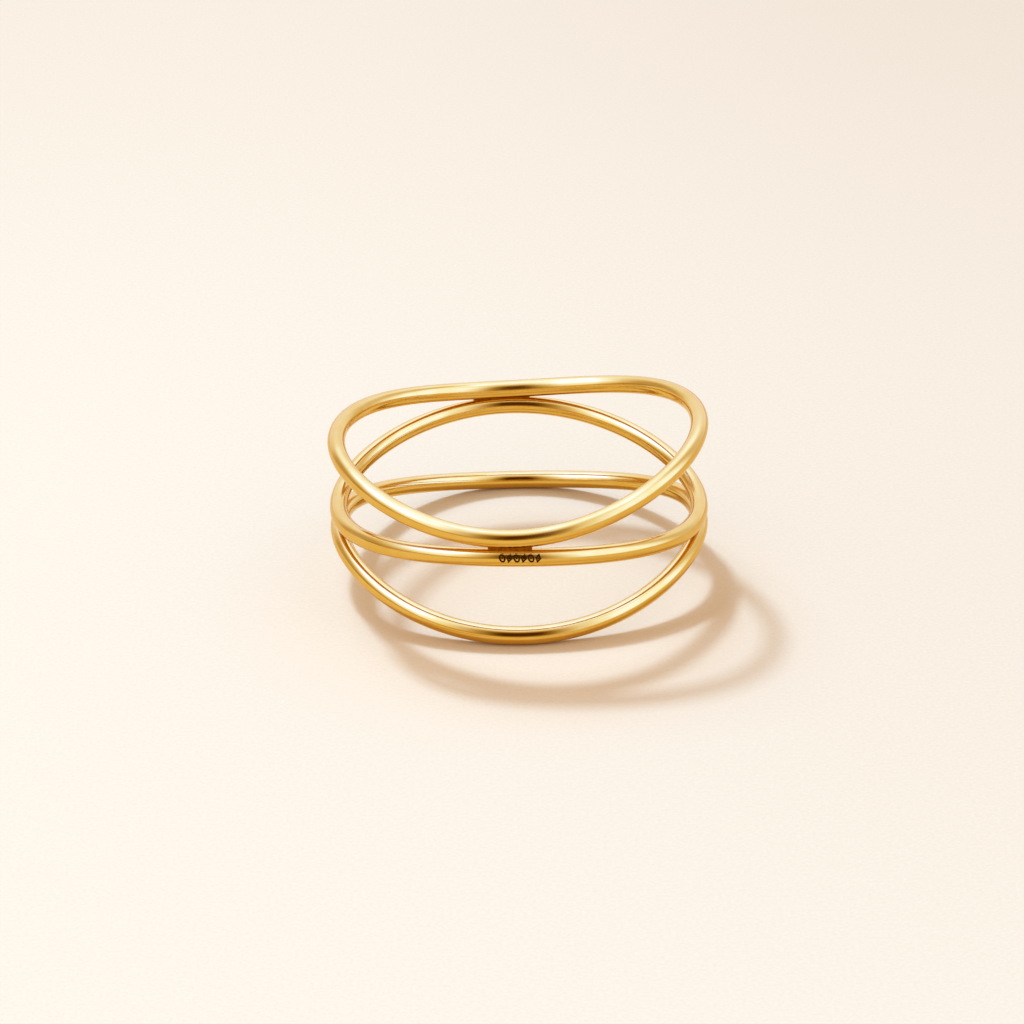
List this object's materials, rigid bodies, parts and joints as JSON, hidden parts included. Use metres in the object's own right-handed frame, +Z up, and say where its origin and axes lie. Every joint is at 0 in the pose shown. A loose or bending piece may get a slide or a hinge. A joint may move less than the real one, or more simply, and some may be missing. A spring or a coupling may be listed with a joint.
{
  "type": "stackable ring",
  "caption": "Finger ring of wavy round gold wire bands, stacked and soldered to each other where their crests and troughs meet, with open gaps between them.",
  "frame": {"origin": "on the surface that the ring rests on, under the middle of the finger hole", "axes": "+Z up along the finger, +X to the right and -Y the front, where the upper and middle bands meet above the mark"},
  "size_m": [0.0192, 0.0192, 0.0083],
  "materials": {
    "yellow_gold": "polished"
  },
  "bodies": {
    "root": {"soldered_wave_bands": "yellow_gold"}
  },
  "joints": []
}
